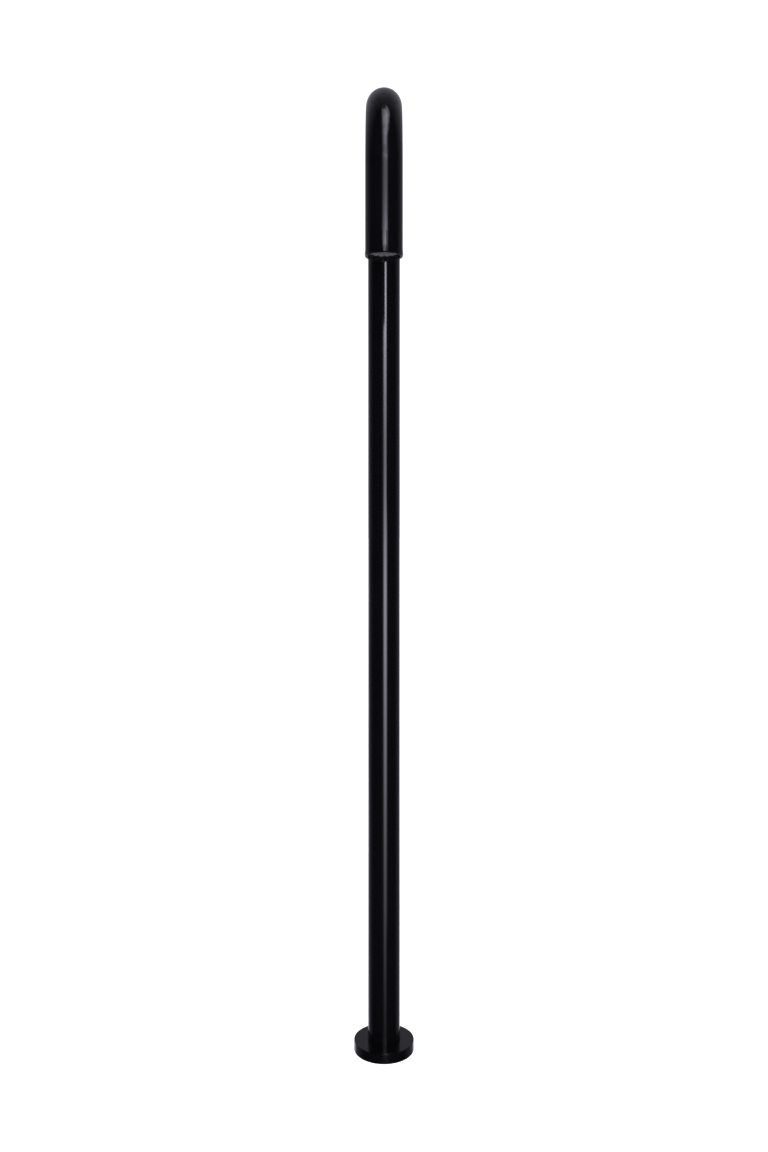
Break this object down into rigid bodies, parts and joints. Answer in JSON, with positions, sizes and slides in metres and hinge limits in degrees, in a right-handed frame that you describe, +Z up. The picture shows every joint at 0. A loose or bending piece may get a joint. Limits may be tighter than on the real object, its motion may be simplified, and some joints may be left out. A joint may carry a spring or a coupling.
{
  "type": "floor-standing bath spout",
  "caption": "Tall black floor-standing bath spout: round tube post, half-circle bend, short front leg with aerator, round floor flange.",
  "frame": {"origin": "on the post's axis at the finished floor, which the gasket and the cover rest on", "axes": "+Z up along the post, the outlet leg to -Y, +X to the right seen from the front"},
  "size_m": [0.06, 0.2013, 0.9685],
  "materials": {
    "black_finish": "satin",
    "brass": "satin",
    "steel": "satin",
    "rubber": "matte",
    "bearing_plastic": "satin",
    "aerator_plastic": "satin",
    "insert_plastic": "satin"
  },
  "bodies": {
    "floor": {"floor_plate": "brass", "swivel_spigot": "brass", "base_gasket": "rubber", "floor_screws": "steel", "thrust_washer": "bearing_plastic", "lower_slip_ring": "bearing_plastic", "upper_slip_ring": "bearing_plastic", "lower_oring": "rubber", "upper_oring": "rubber"},
    "spout": {"spout_tube": "black_finish", "tube_bush": "brass", "outlet_ring": "black_finish", "locking_screw": "steel"},
    "aerator_washer": {"aerator_seal": "rubber"},
    "aerator": {"aerator_body": "aerator_plastic", "aerator_grille": "aerator_plastic", "lower_screen": "steel", "screen_spacer": "bearing_plastic", "upper_screen": "steel", "flow_regulator": "insert_plastic", "regulator_ring": "rubber", "dome_filter": "bearing_plastic"},
    "cover": {"cover_flange": "black_finish", "flange_oring": "rubber", "flange_floor_seal": "rubber"}
  },
  "joints": [
    {"name": "spout_swivel", "type": "hinge", "parent": "floor", "child": "spout", "pos_m": [0, 0, 0.04], "axis": [0, 0, 1], "range_deg": [-60, 60]},
    {"name": "cover_lift", "type": "slide", "parent": "spout", "child": "cover", "axis": [0, 0, 1], "range_m": [0, 0.815]},
    {"name": "aerator_drop", "type": "slide", "parent": "spout", "child": "aerator_washer", "axis": [0, 0, -1], "range_m": [0, 0.006]},
    {"name": "aerator_unscrew", "type": "hinge", "parent": "aerator_washer", "child": "aerator", "pos_m": [0, -0.155, 0.763], "axis": [0, 0, -1], "range_deg": [0, 2160]}
  ],
  "couplings": [
    {"joint": "aerator_drop", "follows": "aerator_unscrew", "m_per_rad": 0.00015915}
  ]
}
